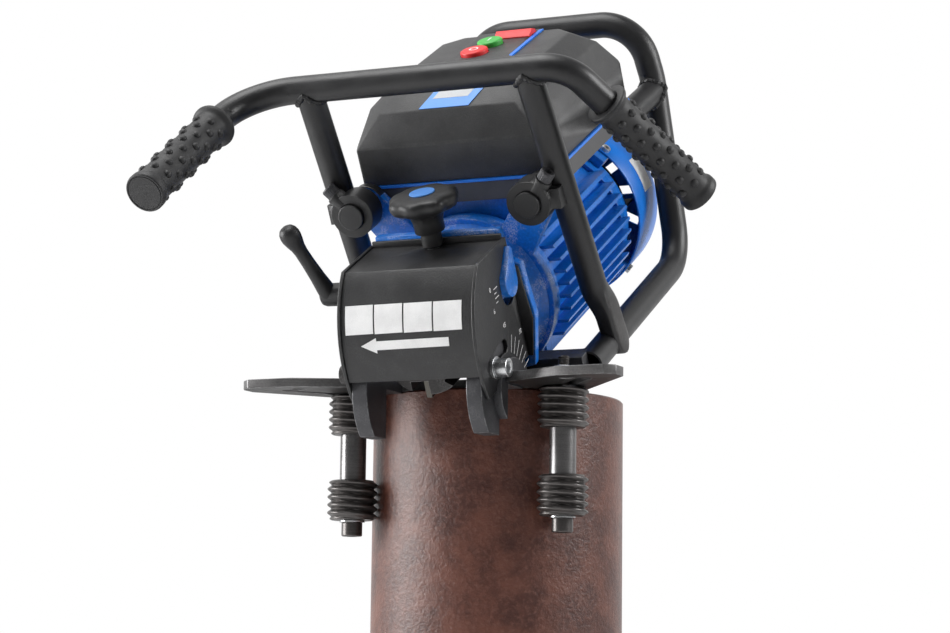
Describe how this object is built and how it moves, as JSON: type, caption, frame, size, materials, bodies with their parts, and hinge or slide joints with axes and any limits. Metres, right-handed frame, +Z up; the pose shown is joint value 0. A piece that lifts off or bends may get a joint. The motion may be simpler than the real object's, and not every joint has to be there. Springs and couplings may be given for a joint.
{
  "type": "pipe beveling machine",
  "caption": "Portable pipe beveling machine: a tilting milling head with motor, guard, switch box and tubular handles on a table with ribbed guide rollers that rides on a pipe end.",
  "frame": {"origin": "on the pipe axis, in the plane of the pipe end that the table rests on", "axes": "+X to the right hand handle, +Y from the guard to the motor, +Z up along the pipe axis"},
  "size_m": [0.4097, 0.5519, 0.499],
  "materials": {
    "black_steel": "black oxide, satin",
    "grey_steel": "turned, satin",
    "bright_steel": "zinc plated",
    "black_paint": "fine satin powder coat",
    "blue_cast": "painted casting, semi gloss",
    "blue_sheet": "semi gloss paint",
    "blue_plastic": "moulded, semi gloss",
    "pale_blue_plastic": "moulded, semi gloss",
    "black_plastic": "fine moulded grain",
    "grey_plastic": "fine moulded grain",
    "red_plastic": "moulded, glossy",
    "green_plastic": "moulded, glossy",
    "grip_rubber": "moulded with nubs",
    "carbide": "coated carbide"
  },
  "bodies": {
    "table": {"base_plate": "black_steel", "left_arm": "black_steel", "right_arm": "black_steel", "left_shoe": "grey_steel", "right_shoe": "grey_steel", "bevel_screws": "bright_steel", "bevel_washers": "bright_steel", "left_roller_bolt": "black_steel", "right_roller_bolt": "black_steel", "roller_nuts": "bright_steel", "roller_washers": "bright_steel"},
    "left_roller": {"left_upper_roller": "grey_steel", "left_sleeve": "grey_steel", "left_lower_roller": "grey_steel"},
    "right_roller": {"right_upper_roller": "grey_steel", "right_sleeve": "grey_steel", "right_lower_roller": "grey_steel"},
    "guard": {"guard_cover": "black_paint", "left_cheek": "black_paint", "right_cheek": "black_paint"},
    "knob": {"depth_spindle": "bright_steel", "depth_knob": "black_plastic", "knob_cap": "pale_blue_plastic"},
    "lever": {"clamp_lever": "black_plastic"},
    "stop": {"stop_button": "red_plastic"},
    "start": {"start_button": "green_plastic"},
    "flap": {"stop_flap": "red_plastic"},
    "rotor": {"motor_shaft": "bright_steel", "rotor_core": "grey_steel", "cooling_fan": "black_plastic", "cutter_head": "grey_steel", "cutter_inserts": "carbide"},
    "head": {"lever_stud": "bright_steel", "spindle_housing": "blue_cast", "frame_bracket": "black_paint", "motor_housing": "blue_cast", "stator_core": "grey_steel", "rear_shield": "blue_cast", "fan_cowl": "blue_sheet", "cowl_screws": "bright_steel", "shaft_bearings": "bright_steel", "box_base": "grey_plastic", "box_gasket": "blue_plastic", "box_cover": "black_plastic", "switch_bezel": "blue_plastic", "switch_plate": "black_plastic", "handlebar": "black_paint", "left_strut": "black_paint", "right_strut": "black_paint", "left_rail": "black_paint", "right_rail": "black_paint", "rear_hoop": "black_paint", "rail_stubs": "black_paint", "left_grip": "grip_rubber", "right_grip": "grip_rubber", "left_clamp": "black_paint", "right_clamp": "black_paint", "clamp_pins": "black_steel", "clamp_screws": "black_steel", "rail_lugs": "grey_steel"}
  },
  "joints": [
    {"name": "bevel_tilt", "type": "hinge", "parent": "table", "child": "guard", "pos_m": [0, -0.115, -0.006], "axis": [1, 0, 0], "range_deg": [0, 45]},
    {"name": "depth_slide", "type": "slide", "parent": "guard", "child": "head", "axis": [0, -0.5, 0.866], "range_m": [-0.006, 0]},
    {"name": "knob_turn", "type": "hinge", "parent": "guard", "child": "knob", "pos_m": [0, -0.15363, 0.1449], "axis": [0, -0.5, 0.866], "range_deg": [-1080, 0]},
    {"name": "lever_turn", "type": "hinge", "parent": "head", "child": "lever", "pos_m": [-0.076, -0.14701, 0.07944], "axis": [1, 0, 0], "range_deg": [0, 60]},
    {"name": "rotor_spin", "type": "hinge", "parent": "head", "child": "rotor", "pos_m": [0, -0.139, 0.03557], "axis": [0, 0.866, 0.5], "continuous": true},
    {"name": "left_roller_spin", "type": "hinge", "parent": "table", "child": "left_roller", "pos_m": [-0.0984, -0.08686, -0.05], "axis": [0, 0, 1], "continuous": true},
    {"name": "right_roller_spin", "type": "hinge", "parent": "table", "child": "right_roller", "pos_m": [0.0984, -0.08686, -0.05], "axis": [0, 0, 1], "continuous": true},
    {"name": "stop_press", "type": "slide", "parent": "head", "child": "stop", "axis": [0, -0.5, 0.866], "range_m": [-0.003, 0], "stiffness_N_per_m": 900},
    {"name": "start_press", "type": "slide", "parent": "head", "child": "start", "axis": [0, -0.5, 0.866], "range_m": [-0.003, 0], "stiffness_N_per_m": 900},
    {"name": "flap_press", "type": "hinge", "parent": "head", "child": "flap", "pos_m": [0, 0.01185, 0.33628], "axis": [1, 0, 0], "range_deg": [0, 8], "stiffness_Nm_per_rad": 0.6}
  ],
  "couplings": [
    {"joint": "knob_turn", "follows": "depth_slide", "rad_per_m": 3141.6}
  ]
}
